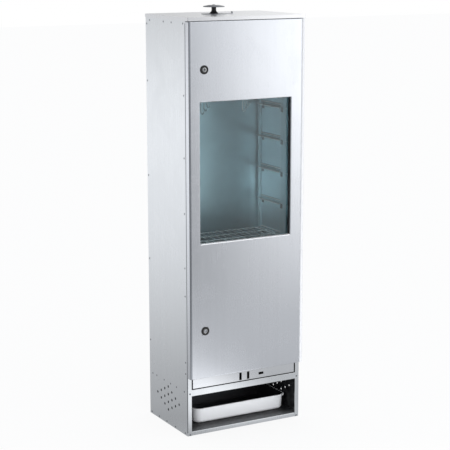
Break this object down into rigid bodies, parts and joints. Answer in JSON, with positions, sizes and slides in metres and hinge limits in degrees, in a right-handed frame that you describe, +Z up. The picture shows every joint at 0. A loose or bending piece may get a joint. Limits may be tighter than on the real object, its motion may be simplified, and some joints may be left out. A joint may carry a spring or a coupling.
{
  "type": "food smoker",
  "caption": "Upright sheet-steel smoking cabinet with a windowed hinged door, quarter-turn locks, a sawdust drawer, an open fire box with a pan, racks, hooks and a turning roof vent.",
  "frame": {"origin": "on the ground, under the middle of the whole object's box", "axes": "+Z up, +X to the viewer's right, the door and the drawer face -Y"},
  "size_m": [0.3926, 0.2808, 1.2757],
  "materials": {
    "cabinet_steel": "brushed stainless sheet, upright grain",
    "cover_steel": "brushed stainless sheet",
    "door_steel": "brushed stainless sheet, upright grain",
    "liner_steel": "plain stainless sheet",
    "window_glass": "clear heat-proof glass",
    "gasket_rubber": "black silicone",
    "hinge_steel": "rolled stainless",
    "lock_black": "black lacquered ring",
    "lock_chrome": "polished chrome",
    "lock_zinc": "zinc-plated steel",
    "drawer_steel": "brushed stainless sheet",
    "rack_steel": "plain stainless sheet",
    "wire_chrome": "bright drawn wire",
    "pan_steel": "pressed stainless, satin",
    "damper_steel": "satin stainless",
    "knob_black": "black heat-proof moulding"
  },
  "bodies": {
    "cabinet": {"left_side_panel": "cabinet_steel", "right_side_panel": "cabinet_steel", "back_panel": "cabinet_steel", "base_tray": "cabinet_steel", "shelf": "cabinet_steel", "lower_crossbar": "cabinet_steel", "upper_crossbar": "cabinet_steel", "top_cover": "cover_steel", "hinge_body_leaf": "hinge_steel", "hinge_pin": "hinge_steel", "left_drawer_guide": "drawer_steel", "right_drawer_guide": "drawer_steel", "left_rack": "rack_steel", "right_rack": "rack_steel", "drip_tray": "rack_steel", "grate": "wire_chrome", "hanging_rods": "wire_chrome", "hooks": "wire_chrome"},
    "door": {"door_skin": "door_steel", "door_frame": "door_steel", "window_frame": "door_steel", "door_liner": "liner_steel", "window_glass": "window_glass", "glass_gasket": "gasket_rubber", "hinge_door_leaf": "hinge_steel", "upper_lock_housing": "lock_black", "lower_lock_housing": "lock_black", "upper_lock_nut": "lock_zinc", "lower_lock_nut": "lock_zinc"},
    "upper_lock": {"upper_lock_core": "lock_chrome", "upper_lock_cam": "lock_zinc", "upper_cam_screw": "lock_zinc"},
    "lower_lock": {"lower_lock_core": "lock_chrome", "lower_lock_cam": "lock_zinc", "lower_cam_screw": "lock_zinc"},
    "drawer": {"drawer_front": "drawer_steel", "drawer_tray": "drawer_steel"},
    "pan": {"fire_pan": "pan_steel"},
    "damper": {"damper_plate": "damper_steel", "damper_knob": "knob_black", "knob_cap": "damper_steel", "damper_spindle": "damper_steel", "damper_washer": "damper_steel", "damper_nut": "damper_steel"}
  },
  "joints": [
    {"name": "door_hinge", "type": "hinge", "parent": "cabinet", "child": "door", "pos_m": [0.1905, -0.1324, 0.70825], "axis": [0, 0, 1], "range_deg": [0, 165]},
    {"name": "upper_lock_turn", "type": "hinge", "parent": "door", "child": "upper_lock", "pos_m": [-0.144, -0.1379, 1.0985], "axis": [0, 1, 0], "range_deg": [0, 90]},
    {"name": "lower_lock_turn", "type": "hinge", "parent": "door", "child": "lower_lock", "pos_m": [-0.144, -0.1379, 0.326], "axis": [0, 1, 0], "range_deg": [0, 90]},
    {"name": "drawer_slide", "type": "slide", "parent": "cabinet", "child": "drawer", "axis": [0, -1, 0], "range_m": [0, 0.18]},
    {"name": "pan_slide", "type": "slide", "parent": "cabinet", "child": "pan", "axis": [0, -1, 0], "range_m": [0, 0.2]},
    {"name": "damper_turn", "type": "hinge", "parent": "cabinet", "child": "damper", "pos_m": [-0.032, 0.0101, 1.247], "axis": [0, 0, 1], "range_deg": [0, 45]}
  ]
}
